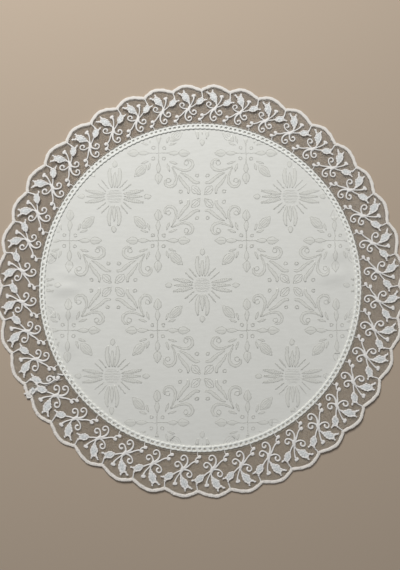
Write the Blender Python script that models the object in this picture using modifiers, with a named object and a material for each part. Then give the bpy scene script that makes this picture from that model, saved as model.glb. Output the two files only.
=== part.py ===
"""Round tablecloth with a lace edge, lying flat: a figured damask panel, a ribbon of embroidered tulle with
a corded, scalloped edge eased round it and lapped at its two ends, and a ladder braid over the seam.

Metres, +Z up. The origin is under the middle of the cloth, on the surface that it lies on. A place on the
ribbon is given as repeats of the spray, clockwise from the lap, and the distance out from the braid.
"""

import math

import bmesh
import bpy
from mathutils import Vector

MM = 0.001

# Sizes in plan
BRAID_REACH = 198.2 * MM
BRAID_WIDTH = 7.2 * MM
LACE_WIDTH = 52.1 * MM
CORD_WIDTH = 3.2 * MM
SCALLOP_DEPTH = 6.6 * MM
PIECE_GAP = 0.3 * MM
RING_STEPS = 90

# The panel's radius under the braid, and the rings that let its puckers bend it
PANEL_REACH = 194.3 * MM
PANEL_RINGS = (0.0, 70.0, 132.0, 148.0, 161.0, 173.0, 184.0)

# Heights over the surface
PANEL_HIGH = 1.2 * MM
NET_HIGH = 1.2 * MM
LAP_HIGH = 1.6 * MM
STITCH_HIGH = 2.0 * MM
CORD_HIGH = 2.2 * MM
WHIPPING_HIGH = 2.6 * MM
BRAID_LOW = PANEL_HIGH + PIECE_GAP
ROOT_DEPTH = 0.5 * MM

# One side of the braid's section, in mm: its edge, the round of its cord and the web
BRAID_COLUMNS = ("in_from_edge", "height")
BRAID_SIDE = (
    (0.3, 2.2),
    (1.0, 2.7),
    (1.9, 2.7),
    (2.5, 2.1),
)

# The ribbon: its repeats, the short piece of one that is left over at the lap, and how it was eased
SCALLOPS = 39
STUB = 0.36
REPEAT_ANGLE = 2 * math.pi / (SCALLOPS + STUB)
REPEAT = REPEAT_ANGLE * (BRAID_REACH + LACE_WIDTH / 2)
LAP_ANGLE = math.radians(209.36)
EASE_ONCE = (0.0190, -0.0219)
EASE_TWICE = (-0.0073, 0.0203)
EASE_THRICE = -0.0043
SCALLOP_STEPS = 6
STUB_STEPS = 3
STUB_DEPTH = 2.6 * MM
SCALLOP_LEAN = 0.84
CUSP_OUT = LACE_WIDTH - CORD_WIDTH / 2 - SCALLOP_DEPTH

# Finishes, in the order that the pieces are made
CLOTH_COLUMNS = ("name", "colour", "roughness")
CLOTHS = (
    ("damask", (0.80, 0.80, 0.75), 0.85),
    ("lace", (0.82, 0.82, 0.79), 0.80),
    ("braid", (0.84, 0.84, 0.80), 0.80),
)

# The cloth is this much of its radius taller than the round and narrower, as it was sewn. The lace is drawn
# out wider at its sides and foot than at its top. The last shift sets the middle of the outline on the origin
TALLER = 0.011
WIDER = 0.0115
WIDER_FOOT = 0.0163
WIDER_SIDES = (0.0210, -0.0090)
SHIFT = Vector((0.1, 0.8)) * MM

# The spray, from the cusp on its left: every stem leaves the knot
KNOT = Vector((18.2, 21.0)) * MM
CUT_STEM_END = Vector((22.2, 14.4)) * MM
PISTIL_DOT = Vector((25.3, 37.0)) * MM
UPPER_BERRY = Vector((0.9, 11.5)) * MM
LOWER_BERRY = Vector((-2.6, 5.8)) * MM
DOT_RADIUS = 2.3 * MM
DOT_SIDES = 4
STEM_WIDTH = 1.7 * MM

# Outlines of the satin-stitched petals, in mm on the straight ribbon, from the right of the foot to its left
PETAL_COLUMNS = ("along", "out")
TULIP = (
    (20.4, 28.4),
    (20.6, 33.6),
    (17.4, 39.6),
    (13.8, 44.8),
    (11.9, 40.9),
    (6.4, 42.2),
    (10.6, 36.6),
    (11.4, 32.4),
    (18.6, 28.8),
)
BUD = (
    (29.4, 25.0),
    (35.4, 25.4),
    (38.0, 30.0),
    (42.8, 31.9),
    (37.6, 35.2),
    (30.6, 32.9),
    (28.2, 27.2),
)

# Scrolls that curl round a centre, in mm and degrees
SCROLL_COLUMNS = ("centre", "first_radius", "last_radius", "first_angle", "sweep")
SCROLLS = (
    ((10.3, 25.0), 5.6, 2.6, 255, -265),
    ((24.6, 16.2), 5.6, 2.7, 190, 240),
    ((17.9, 8.4), 6.0, 2.6, 170, 250),
)
SCROLL_STEPS = 3

# The lap: the upper end of the ribbon, as repeats from the lap and mm out from the braid
LAP_COLUMNS = ("repeats", "out")
LAP = (
    (-0.38, 43.4),
    (-0.36, 19.0),
    (-0.47, 6.0),
    (-0.45, 0.5),
    (-0.14, 0.5),
    (-0.16, 44.6),
    (-0.26, 45.8),
)
CUT_SPRAY_AT = -1.01
WHIPPING = (-0.33, 46.2)
WHIPPING_RADIUS = 3.3 * MM
TURNED_END = (-0.39, 7.2)
TURNED_END_RADIUS = 2.5 * MM

# Where the panel is drawn up by the seam, and where the lace stands off the surface
PUCKER_COLUMNS = ("angle", "reach", "half_angle", "half_reach", "height")
PUCKERS = (
    (181.0, 168.0, 6.0, 24.0, 1.5),
    (192.0, 162.0, 5.0, 20.0, 0.9),
    (-1.0, 163.0, 6.0, 22.0, 1.2),
    (13.0, 172.0, 5.5, 20.0, 1.0),
    (205.0, 176.0, 6.0, 14.0, 0.8),
)
LIFT_COLUMNS = ("angle", "half_angle", "height")
LIFTS = (
    (18.0, 26.0, 0.9),
    (78.0, 20.0, 0.6),
    (142.0, 28.0, 1.0),
    (252.0, 24.0, 0.8),
    (318.0, 26.0, 1.1),
)


def rows(columns, table):
    """A table's rows, each as a dictionary by column name."""
    return [dict(zip(columns, row)) for row in table]


def ring_angle(repeats):
    """The direction of a place on the ribbon, which is eased tighter in some parts than in others."""
    even = LAP_ANGLE - repeats * REPEAT_ANGLE
    once = EASE_ONCE[0] * math.cos(even) + EASE_ONCE[1] * math.sin(even)
    twice = EASE_TWICE[0] * math.cos(2 * even) + EASE_TWICE[1] * math.sin(2 * even)
    return even + once + twice + EASE_THRICE * math.cos(3 * even)


def on_ring(repeats, out):
    """A place on the ribbon, in plan."""
    angle = ring_angle(repeats)
    sides = WIDER_SIDES[0] * math.cos(2 * angle) + WIDER_SIDES[1] * math.sin(2 * angle)
    reach = BRAID_REACH + out * (1 + WIDER - WIDER_FOOT * math.sin(angle) + sides)
    return Vector((reach * math.cos(angle), reach * math.sin(angle)))


def circle(reach):
    """A round outline with a corner on each of the ring's steps."""
    places = []
    for step in range(RING_STEPS):
        angle = 2 * math.pi * step / RING_STEPS
        places.append(Vector((reach * math.cos(angle), reach * math.sin(angle))))
    return places


def hump(share):
    """A soft hump, 1 at 0 and gone at 1 and beyond."""
    if abs(share) >= 1:
        return 0.0
    return 0.5 + 0.5 * math.cos(math.pi * share)


def wrapped(degrees):
    """An angle between -180 and 180 degrees."""
    return (degrees + 180.0) % 360.0 - 180.0


def lift(angle, reach):
    """How far the cloth stands off the surface: puckers in the panel, slow waves in the lace's rim."""
    degrees = math.degrees(angle)
    height = 0.0
    for row in rows(PUCKER_COLUMNS, PUCKERS):
        sideways = wrapped(degrees - row["angle"]) / row["half_angle"]
        outward = (reach / MM - row["reach"]) / row["half_reach"]
        height += row["height"] * MM * hump(sideways) * hump(outward)
    ramp = max(0.0, (reach - BRAID_REACH) / LACE_WIDTH)
    for row in rows(LIFT_COLUMNS, LIFTS):
        height += row["height"] * MM * ramp * hump(wrapped(degrees - row["angle"]) / row["half_angle"])
    return height


def settle(piece):
    """Lays a piece that was modelled round and flat as the cloth really lies."""
    for vertex in piece.data.vertices:
        x, y, z = vertex.co
        angle = math.atan2(y, x)
        reach = math.hypot(x, y)
        stretched = reach * (1 - TALLER * math.cos(2 * angle))
        vertex.co = (stretched * math.cos(angle), stretched * math.sin(angle), z + lift(angle, reach))
        vertex.co.xy += SHIFT


def cloth_material(name, colour, roughness):
    """A plain dull white cloth."""
    material = bpy.data.materials.new(name)
    material.use_nodes = True
    shader = material.node_tree.nodes["Principled BSDF"]
    shader.inputs["Base Color"].default_value = (*colour, 1.0)
    shader.inputs["Roughness"].default_value = roughness
    shader.inputs["Metallic"].default_value = 0.0
    material.diffuse_color = (*colour, 1.0)
    return material


def add_object(name, data, collection):
    """Links new data to the scene as an object."""
    piece = bpy.data.objects.new(name, data)
    collection.objects.link(piece)
    return piece


def apply_modifiers(piece):
    """Replaces an object's mesh by what its modifiers make of it."""
    graph = bpy.context.evaluated_depsgraph_get()
    made = bpy.data.meshes.new_from_object(piece.evaluated_get(graph))
    piece.modifiers.clear()
    piece.data = made


def turned(name, profile, collection):
    """A closed profile of (reach, height) turned about Z. Its outer side runs from top to bottom."""
    mesh = bpy.data.meshes.new(name)
    points = [(reach, 0.0, height) for reach, height in profile]
    edges = [(i, i + 1) for i in range(len(points) - 1)]
    if profile[0][0] > 0:
        edges.append((len(points) - 1, 0))
    mesh.from_pydata(points, edges, [])
    piece = add_object(name, mesh, collection)
    screw = piece.modifiers.new("Turn", "SCREW")
    screw.axis = "Z"
    screw.angle = 2 * math.pi
    screw.steps = RING_STEPS
    screw.render_steps = RING_STEPS
    screw.use_merge_vertices = True
    screw.merge_threshold = 0.00001
    apply_modifiers(piece)
    return piece


def prism(name, outlines, low, high, collection):
    """Flat outlines filled and given a thickness. An outline inside another is a hole."""
    flat = bpy.data.curves.new(name, "CURVE")
    flat.dimensions = "2D"
    flat.fill_mode = "BOTH"
    flat.extrude = (high - low) / 2
    for outline in outlines:
        spline = flat.splines.new("POLY")
        spline.points.add(len(outline) - 1)
        for point, place in zip(spline.points, outline):
            point.co = (place.x, place.y, 0.0, 1.0)
        spline.use_cyclic_u = True
    drawn = add_object(name, flat, collection)
    drawn.location.z = (low + high) / 2
    bpy.context.view_layer.update()
    graph = bpy.context.evaluated_depsgraph_get()
    mesh = bpy.data.meshes.new_from_object(drawn.evaluated_get(graph))
    mesh.transform(drawn.matrix_world)
    bpy.data.objects.remove(drawn)
    body = bmesh.new()
    body.from_mesh(mesh)
    bmesh.ops.remove_doubles(body, verts=body.verts, dist=0.000001)
    bmesh.ops.recalc_face_normals(body, faces=body.faces)
    body.to_mesh(mesh)
    body.free()
    return add_object(name, mesh, collection)


def unite(base, added):
    """Makes two bodies one and removes the second."""
    union = base.modifiers.new("Unite", "BOOLEAN")
    union.operation = "UNION"
    union.solver = "EXACT"
    union.object = added
    apply_modifiers(base)
    bpy.data.objects.remove(added)


def clean_flats(piece):
    """Removes the cuts that unions leave in flat faces, and makes triangles of what is left."""
    body = bmesh.new()
    body.from_mesh(piece.data)
    bmesh.ops.remove_doubles(body, verts=body.verts, dist=0.000001)
    bmesh.ops.dissolve_limit(
        body,
        angle_limit=math.radians(0.5),
        verts=body.verts,
        edges=body.edges,
    )
    bmesh.ops.triangulate(body, faces=body.faces)
    body.to_mesh(piece.data)
    body.free()


def side_of(start, end):
    """Half a stem's width, to the left of the way from start to end."""
    along = (end - start).normalized()
    return Vector((-along.y, along.x)) * STEM_WIDTH / 2


def strand(line):
    """The outline of a stem along a line of places, blunt at its root and pointed at its tip."""
    left = []
    right = []
    for i, place in enumerate(line[:-1]):
        side = side_of(line[max(i - 1, 0)], line[i + 1])
        left.append(place + side)
        right.append(place - side)
    return left + [line[-1]] + right[::-1]


def closed_strand(line, width):
    """The outer and inner outlines of a cord that runs right round."""
    outer = []
    inner = []
    count = len(line)
    for i, place in enumerate(line):
        back = (place - line[i - 1]).normalized()
        ahead = (line[(i + 1) % count] - place).normalized()
        along = (back + ahead).normalized()
        across = Vector((-along.y, along.x))
        mitre = width / 2 / max(along.dot(ahead), 0.5)
        outer.append(place + across * mitre)
        inner.append(place - across * mitre)
    return outer, inner


def petal(table, root):
    """A petal with its stem, which runs from the root to the foot of the petal."""
    places = [Vector((row["along"], row["out"])) * MM for row in rows(PETAL_COLUMNS, table)]
    side = side_of(root, (places[0] + places[-1]) / 2)
    return [root + side, root - side] + places


def dot(centre, radius, sides):
    """A round stitched dot."""
    turn = 2 * math.pi / sides
    return [centre + radius * Vector((math.cos(turn * i), math.sin(turn * i))) for i in range(sides)]


def dot_on_stem(root, centre):
    """A dot at the end of a straight stem."""
    side = side_of(root, centre)
    along = (centre - root).normalized() * DOT_RADIUS
    wide = side * (2 * DOT_RADIUS / STEM_WIDTH)
    neck = centre - along
    return [root + side, root - side, neck - side, centre - wide, centre + along, centre + wide, neck + side]


def scroll_line(row):
    """The middle of a scroll: from the knot round its centre, winding in."""
    line = [KNOT.copy()]
    centre = Vector(row["centre"]) * MM
    for step in range(SCROLL_STEPS + 1):
        share = step / SCROLL_STEPS
        radius = row["last_radius"] + (row["first_radius"] - row["last_radius"]) * (1 - share) ** 2
        angle = math.radians(row["first_angle"] + row["sweep"] * share)
        line.append(centre + radius * MM * Vector((math.cos(angle), math.sin(angle))))
    return line


def scallop(share):
    """A scallop's rise, from 0 at its cusps to 1 at its tip."""
    return math.sin(math.pi * share**SCALLOP_LEAN)


def cord_line():
    """The middle of the corded edge, all the way round."""
    places = []
    for number in range(SCALLOPS):
        for step in range(SCALLOP_STEPS):
            share = step / SCALLOP_STEPS
            places.append(on_ring(number + share, CUSP_OUT + SCALLOP_DEPTH * scallop(share)))
    for step in range(STUB_STEPS):
        share = step / STUB_STEPS
        places.append(on_ring(SCALLOPS + STUB * share, CUSP_OUT + STUB_DEPTH * scallop(share)))
    return places


def spray_outlines():
    """A spray's petals, dots and scrolls, which meet at the knot."""
    outlines = [
        petal(TULIP, KNOT),
        petal(BUD, KNOT),
        dot_on_stem(KNOT, PISTIL_DOT),
        dot_on_stem(KNOT, UPPER_BERRY),
        dot(LOWER_BERRY, DOT_RADIUS, DOT_SIDES),
    ]
    return outlines + [strand(scroll_line(row)) for row in rows(SCROLL_COLUMNS, SCROLLS)]


def make_spray(outlines, collection):
    """A spray on a straight ribbon, fused where its stems meet."""
    root = NET_HIGH - ROOT_DEPTH
    spray = prism("spray", outlines[:1], root, STITCH_HIGH, collection)
    for outline in outlines[1:]:
        unite(spray, prism("stitching", [outline], root, STITCH_HIGH, collection))
    clean_flats(spray)
    return spray


def ease_round(spray, places, collection):
    """Copies of a straight spray, each bent to the ring so many repeats from the lap, in place of the spray."""
    body = bmesh.new()
    for repeats in places:
        first = len(body.verts)
        body.from_mesh(spray.data)
        body.verts.ensure_lookup_table()
        for vertex in body.verts[first:]:
            place = on_ring(repeats + vertex.co.x / REPEAT, vertex.co.y)
            vertex.co = (place.x, place.y, vertex.co.z)
    mesh = bpy.data.meshes.new("sprays")
    body.to_mesh(mesh)
    body.free()
    bpy.data.objects.remove(spray)
    return add_object("sprays", mesh, collection)


def make_cut_spray(collection):
    """What the lap shows of the spray that it was cut through: a bud and a scroll."""
    scroll = scroll_line(dict(zip(SCROLL_COLUMNS, SCROLLS[1])))
    return make_spray([petal(BUD, CUT_STEM_END), strand(scroll[1:])], collection)


def make_panel(collection):
    """The damask: one flat disc with its edge under the braid."""
    rings = [reach * MM for reach in PANEL_RINGS] + [PANEL_REACH]
    top = [(reach, PANEL_HIGH) for reach in rings]
    under = [(reach, 0.0) for reach in reversed(rings)]
    panel = turned("damask_panel", top + under, collection)
    settle(panel)
    return panel


def add_lap(lace, collection):
    """The lap of the ribbon's two ends: the upper one's net, its turned end and the whipping on the cord."""
    root = NET_HIGH - ROOT_DEPTH
    net = [on_ring(row["repeats"], row["out"] * MM) for row in rows(LAP_COLUMNS, LAP)]
    unite(lace, prism("lap", [net], root, LAP_HIGH, collection))
    turned_end = dot(on_ring(TURNED_END[0], TURNED_END[1] * MM), TURNED_END_RADIUS, 2 * DOT_SIDES)
    whipping = dot(on_ring(WHIPPING[0], WHIPPING[1] * MM), WHIPPING_RADIUS, 2 * DOT_SIDES)
    unite(lace, prism("whipping", [turned_end, whipping], root, WHIPPING_HIGH, collection))


def make_lace(collection):
    """The ribbon: net, corded edge and raised sprays in one."""
    foot = PANEL_REACH + PIECE_GAP
    outer, inner = closed_strand(cord_line(), CORD_WIDTH)
    lace = prism("lace_edging", [outer, circle(foot)], 0.0, NET_HIGH, collection)
    unite(lace, prism("cord", [outer, inner], NET_HIGH - ROOT_DEPTH, CORD_HIGH, collection))
    add_lap(lace, collection)
    unite(lace, ease_round(make_spray(spray_outlines(), collection), range(SCALLOPS), collection))
    unite(lace, ease_round(make_cut_spray(collection), [CUT_SPRAY_AT], collection))
    clean_flats(lace)
    settle(lace)
    return lace


def make_braid(collection):
    """The braid: two cords and the web between them."""
    outer = BRAID_REACH
    inner = BRAID_REACH - BRAID_WIDTH
    side = rows(BRAID_COLUMNS, BRAID_SIDE)
    profile = [(inner + row["in_from_edge"] * MM, row["height"] * MM) for row in side]
    profile += [(outer - row["in_from_edge"] * MM, row["height"] * MM) for row in reversed(side)]
    profile += [(outer, BRAID_LOW), (inner, BRAID_LOW)]
    braid = turned("ladder_braid", profile, collection)
    settle(braid)
    return braid


def main():
    for old in list(bpy.data.objects):
        bpy.data.objects.remove(old)
    collection = bpy.data.collections.new("lace_tablecloth")
    bpy.context.scene.collection.children.link(collection)
    pieces = (make_panel(collection), make_lace(collection), make_braid(collection))
    for piece, row in zip(pieces, rows(CLOTH_COLUMNS, CLOTHS)):
        piece.data.materials.append(cloth_material(row["name"], row["colour"], row["roughness"]))


main()
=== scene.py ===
"""Round white tablecloth lying flat: a figured damask centre, a ladder braid over its seam and a ribbon of
embroidered tulle with a corded, scalloped rim, eased round and lapped at the lower left.

A place on the ribbon is (along, out, high) in mm: clockwise from the lap, out from the braid, over the table.
"""

import math

import bpy
import numpy as np
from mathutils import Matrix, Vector


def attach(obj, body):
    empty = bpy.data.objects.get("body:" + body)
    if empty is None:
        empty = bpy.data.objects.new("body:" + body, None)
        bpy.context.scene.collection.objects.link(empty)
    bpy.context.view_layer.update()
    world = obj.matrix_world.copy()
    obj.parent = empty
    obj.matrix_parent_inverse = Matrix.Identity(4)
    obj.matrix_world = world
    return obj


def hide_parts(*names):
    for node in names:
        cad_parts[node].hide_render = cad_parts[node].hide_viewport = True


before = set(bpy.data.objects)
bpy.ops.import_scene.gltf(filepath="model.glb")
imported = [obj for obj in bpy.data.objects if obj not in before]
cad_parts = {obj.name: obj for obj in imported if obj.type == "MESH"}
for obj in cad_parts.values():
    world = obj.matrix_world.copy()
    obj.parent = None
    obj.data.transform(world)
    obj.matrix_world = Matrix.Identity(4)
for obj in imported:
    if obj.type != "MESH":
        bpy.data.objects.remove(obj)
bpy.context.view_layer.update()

MM = 0.001
CLOTH_REACH = 0.25

# The ring in mm: reaches are from the cloth's middle, the rest runs out from the braid's outer edge
BRAID_REACH = 198.2
PANEL_REACH = 194.3
LACE_WIDTH = 52.1
CORD_WIDTH = 3.2
SCALLOP_DEPTH = 6.6
NET_FOOT = -3.4
# Whole scallops round the ribbon, and the share of one more that is left at the lap
SCALLOPS = 39
STUB = 0.36
STUB_DEPTH = 2.6
REPEAT_ANGLE = 2 * math.pi / (SCALLOPS + STUB)
REPEAT = REPEAT_ANGLE * (BRAID_REACH + LACE_WIDTH / 2)
RIBBON_LENGTH = REPEAT * (SCALLOPS + STUB)
LAP_ANGLE = math.radians(209.36)
SCALLOP_LEAN = 0.84
CUSP_OUT = LACE_WIDTH - CORD_WIDTH / 2 - SCALLOP_DEPTH
RIM_TOP = CUSP_OUT + SCALLOP_DEPTH
# How far the repeats stray from an even pitch, in radians, once, twice and three times round: cosine, sine
EASE_ONCE = (0.0190, -0.0219)
EASE_TWICE = (-0.0073, 0.0203)
EASE_THRICE = -0.0043
# How much taller than wide the cloth is, and how far the lace is stretched, more at the foot and the sides
TALLER = 0.011
WIDER = 0.0115
WIDER_FOOT = 0.0163
WIDER_SIDES = (0.0210, -0.0090)
# Where the ring's middle lies, so that the middle of the whole outline is at 0
SHIFT = np.array([0.1, 0.8, 0.0])
# How far the lace's outer half is drawn out of round: even, cosine, sine, and cosine twice round
DRAWN = (0.11, 0.45, -0.61, 0.44)
DRAWN_FROM = 20.0
DRAWN_OVER = 10.0
# The share of that given back towards the rim
RELAXED = 0.6
RELAXED_FROM = 42.0
RELAXED_OVER = 8.0

# Where the seam draws the panel up: angle in degrees, reach, half angle, half reach, height
PUCKERS = (
    (181.0, 168.0, 6.0, 24.0, 0.5),
    (175.6, 160.0, 3.9, 27.0, 1.15),
    (181.9, 166.0, 3.4, 24.0, 1.25),
    (192.0, 162.0, 5.0, 20.0, 0.9),
    (3.4, 163.0, 4.8, 30.0, 1.25),
    (13.0, 172.0, 5.5, 20.0, 1.0),
    (205.0, 176.0, 6.0, 14.0, 0.8),
)
# Where the lace stands off the table: angle in degrees, half angle, height at the rim
LIFTS = (
    (18.0, 26.0, 0.9),
    (78.0, 20.0, 0.6),
    (142.0, 28.0, 1.0),
    (252.0, 24.0, 0.8),
    (318.0, 26.0, 1.1),
)

chance = np.random.default_rng(7)


def hump(share):
    """A soft hump, 1 at 0 and gone at 1 and beyond."""
    return np.where(np.abs(share) >= 1, 0.0, 0.5 + 0.5 * np.cos(np.pi * np.clip(share, -1, 1)))


def rising(value, start, over):
    """A ramp that leaves 0 at the start and comes to 1 so much further on."""
    return np.clip((value - start) / over, 0, 1)


def polar(places):
    """The angle and the reach of each place in plan."""
    return np.arctan2(places[:, 1], places[:, 0]), np.hypot(places[:, 0], places[:, 1])


def in_plan(angle, reach, high):
    """The places at those angles, reaches and heights."""
    return np.stack([reach * np.cos(angle), reach * np.sin(angle), high], 1)


def stretch(angle):
    """By how much the cloth is pulled out of round there."""
    return 1 - TALLER * np.cos(2 * angle)


def lift(angle, reach):
    """How far the cloth stands off the table there, in mm: puckers by the seam, slow waves in the rim."""
    degrees = np.degrees(angle)
    height = np.zeros_like(reach)
    for at, out, half_angle, half_reach, high in PUCKERS:
        sideways = ((degrees - at + 180.0) % 360.0 - 180.0) / half_angle
        height += high * hump(sideways) * hump((reach - out) / half_reach)
    ramp = np.maximum(0.0, (reach - BRAID_REACH) / LACE_WIDTH)
    for at, half_angle, high in LIFTS:
        sideways = ((degrees - at + 180.0) % 360.0 - 180.0) / half_angle
        height += high * ramp * hump(sideways)
    return height


def settle(places):
    """Lays places of the round, flat cloth as it really lies, a little taller than wide."""
    angle, reach = polar(places)
    return in_plan(angle, reach * stretch(angle), places[:, 2] + lift(angle, reach)) + SHIFT


def round_ribbon(places):
    """Eases places on the straight ribbon round the panel."""
    even = LAP_ANGLE - places[:, 0] / REPEAT * REPEAT_ANGLE
    once = EASE_ONCE[0] * np.cos(even) + EASE_ONCE[1] * np.sin(even)
    twice = EASE_TWICE[0] * np.cos(2 * even) + EASE_TWICE[1] * np.sin(2 * even)
    angle = even + once + twice + EASE_THRICE * np.cos(3 * even)
    sides = WIDER_SIDES[0] * np.cos(2 * angle) + WIDER_SIDES[1] * np.sin(2 * angle)
    wider = 1 + WIDER - WIDER_FOOT * np.sin(angle) + sides
    reach = BRAID_REACH + np.where(places[:, 1] > 0, places[:, 1] * wider, places[:, 1])
    drawn = DRAWN[0] + DRAWN[1] * np.cos(angle) + DRAWN[2] * np.sin(angle) + DRAWN[3] * np.cos(2 * angle)
    outer_half = rising(places[:, 1], DRAWN_FROM, DRAWN_OVER)
    relaxed = RELAXED * rising(places[:, 1], RELAXED_FROM, RELAXED_OVER)
    return settle(in_plan(angle, reach + drawn * (outer_half - relaxed), places[:, 2]))


def on_panel(places):
    """Sets places in plan, in the cloth as it lies, on the panel's top: the height given is over that top."""
    angle, reach = polar(places)
    reach = reach / stretch(angle)
    high = places[:, 2] + PANEL_TOP + lift(angle, reach) + panel_wave(places[:, 0], places[:, 1])
    return np.stack([places[:, 0], places[:, 1], high], 1) + SHIFT


def rim_out(along):
    """How far out the middle of the corded rim is."""
    number = along / REPEAT
    whole = np.floor(number)
    share = number - whole
    stub = whole >= SCALLOPS
    share = np.where(stub, np.clip(share / STUB, 0, 1), share)
    depth = np.where(stub, STUB_DEPTH, SCALLOP_DEPTH)
    return CUSP_OUT + depth * np.sin(np.pi * share**SCALLOP_LEAN)


CURVE_PLACES = 13
TINY = 1e-9


def smooth_line(points, step):
    """A soft line through a few points, with places about a step apart."""
    points = np.array(points, float)
    before = 2 * points[:1] - points[1:2]
    after = 2 * points[-1:] - points[-2:-1]
    knots = np.concatenate([before, points, after])
    share = np.linspace(0, 1, CURVE_PLACES)[:-1, None]
    pieces = []
    for a, b, c, d in zip(knots[:-3], knots[1:-2], knots[2:-1], knots[3:]):
        turn = 2 * b + (c - a) * share + (2 * a - 5 * b + 4 * c - d) * share**2
        pieces.append(0.5 * (turn + (3 * b - a - 3 * c + d) * share**3))
    return even_steps(np.concatenate(pieces + [points[-1:]]), step)


def even_steps(line, step):
    """The same line with its places about a step apart."""
    return evenly(line, max(2, int(round(length_of(line) / step)) + 1))


def length_of(line):
    """A line's length."""
    return np.linalg.norm(np.diff(line, axis=0), axis=1).sum()


def lengths(line):
    """How far along the line each place is, in mm."""
    return np.concatenate([[0], np.cumsum(np.linalg.norm(np.diff(line, axis=0), axis=1))])


def evenly(line, count):
    """The same line as so many places an even step apart."""
    length = lengths(line)
    wanted = np.linspace(0, length[-1], count)
    return np.stack([np.interp(wanted, length, line[:, i]) for i in range(line.shape[1])], 1)


def shares(line):
    """How far along the line each place is, from 0 to 1."""
    length = lengths(line)
    return length / max(length[-1], TINY)


def headings(line):
    """The way that the line goes at each place, in plan."""
    ahead = np.gradient(line[:, :2], axis=0)
    return ahead / np.maximum(np.linalg.norm(ahead, axis=1, keepdims=True), TINY)


def left_of(ahead):
    """The way to the left of each heading."""
    return np.stack([-ahead[:, 1], ahead[:, 0]], 1)


def runs(inside):
    """First and last of every unbroken run."""
    edges = np.flatnonzero(np.diff(np.concatenate([[0], inside.astype(int), [0]])))
    return zip(edges[::2], edges[1::2])


def tapered(count, over, tip):
    """Full size along a line, growing from so much at both tips over so many places."""
    place = np.arange(count)
    return np.clip(np.minimum(place, place[::-1]) / over + tip, 0, 1)


def plied(count, dip):
    """Full size at every thread, and so much of it at the dip between two: every second place."""
    return np.where(np.arange(count) % 2 == 0, 1.0, dip)


def formed(form, half, low, high):
    """The form of a section at every place of a line, with its half width, its foot and its height there."""
    form = np.array(form)
    section = np.empty((len(half), len(form), 2))
    section[:, :, 0] = half[:, None] * form[None, :, 0]
    section[:, :, 1] = low + high[:, None] * form[None, :, 1]
    return section


def skin(corners, closed=False):
    """The faces over rows of corners. Each row goes from the right edge over the top to the left."""
    rows, around = corners.shape[:2]
    last = rows if closed else rows - 1
    row = np.arange(last)[:, None]
    place = np.arange(around)[None]
    following = (row + 1) % rows
    beside = (place + 1) % around
    quads = np.stack(
        [
            row * around + place,
            following * around + place,
            following * around + beside,
            row * around + beside,
        ],
        -1,
    ).reshape(-1, 4)
    fans = []
    if not closed:
        end = (rows - 1) * around
        for k in range(1, around - 1):
            fans.append((0, k, k + 1))
            fans.append((end, end + k + 1, end + k))
    return corners.reshape(-1, 3), quads, np.array(fans, int).reshape(-1, 3)


def sweep(line, section, slant=0.0, closed=False):
    """A solid along a line. Each row of the section goes from its right edge over the top to its left."""
    if line.shape[1] == 2:
        line = np.concatenate([line, np.zeros((len(line), 1))], 1)
    ahead = headings(line)
    across = left_of(ahead) + slant * ahead
    corners = np.empty((*section.shape[:2], 3))
    corners[:, :, :2] = line[:, None, :2] + across[:, None] * section[:, :, :1]
    corners[:, :, 2] = line[:, None, 2] + section[:, :, 1]
    return skin(corners, closed)


class Work:
    """Worked shapes gathered for one piece: their corners, faces and finish."""

    def __init__(self):
        self.corners, self.faces, self.finishes, self.count = [], [], [], 0

    def add(self, shape, finish=0):
        corners, quads, fans = shape
        for faces in (quads, fans):
            self.faces += (faces + self.count).tolist()
            self.finishes += [finish] * len(faces)
        self.corners.append(corners)
        self.count += len(corners)

    def make(self, name, place, materials, smooth=True):
        """The piece, laid in its place."""
        corners = place(np.concatenate(self.corners)) * MM
        mesh = bpy.data.meshes.new(name)
        mesh.from_pydata(corners.tolist(), [], self.faces)
        mesh.polygons.foreach_set("material_index", self.finishes)
        mesh.polygons.foreach_set("use_smooth", [smooth] * len(self.faces))
        for material in materials:
            mesh.materials.append(material)
        mesh.update()
        piece = bpy.data.objects.new(name, mesh)
        bpy.context.scene.collection.objects.link(piece)
        return piece


# A stitch's pitch, its half width and height at the dips, and how fast an uneven line swells and thins
STITCH = 0.88
DIP_HALF = 0.93
DIP_HIGH = 0.86
UNEVEN_STEP = 0.80
# A thin stitch is a low one: its height against its width, and the lowest that it comes to
THIN_IS_LOW = 1.8
LOWEST = 0.4
# Sections, from the right edge over the top to the left, for a half width and a height of 1
DOME = ((-1.0, 0.0), (-0.72, 0.76), (0.0, 1.0), (0.72, 0.76), (1.0, 0.0))
FULL = ((-1.0, 0.0), (-0.92, 0.74), (-0.66, 0.98), (0.66, 0.98), (0.92, 0.74), (1.0, 0.0))
BLADE = ((-1.0, 0.0), (0.0, 1.0), (1.0, 0.0))


def stitched(points, halves, base, height, form=FULL, stitch=STITCH, slant=0.35, uneven=0.0, start=0.0):
    """Satin stitches laid side by side over a line, as wide as their halves say from end to end.

    An uneven line swells and thins by that share as it goes, from another start for each line.
    """
    line = smooth_line(points, stitch / 2)
    count = len(line)
    half = np.interp(shares(line), np.linspace(0, 1, len(halves)), halves)
    half = half * plied(count, DIP_HALF) * (1 + uneven * np.sin(start + np.arange(count) * UNEVEN_STEP))
    high = height * plied(count, DIP_HIGH)
    high = high * np.clip(half / max(half.max(), TINY) * THIN_IS_LOW, LOWEST, 1.0)
    return sweep(line, formed(form, half, base, high), slant)


# The sockets of a Mix node for colours, by number because its other sockets have the same names
MIX_SHARE = 0
MIX_FIRST = 6
MIX_SECOND = 7
MIX_RESULT = 2
# Finishes: their gloss, where the shade turns to the colour, and the depth of their relief in metres
SHEEN_ROUGHNESS = 0.5
THREAD_SPECULAR = 0.3
THREAD_TONES = (0.35, 0.62)
THREAD_RELIEF = 0.0001
DAMASK_SPECULAR = 0.25
DAMASK_SHEEN = 0.15
DAMASK_TONES = (0.32, 0.74)
DAMASK_RELIEF = 0.00008
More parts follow.
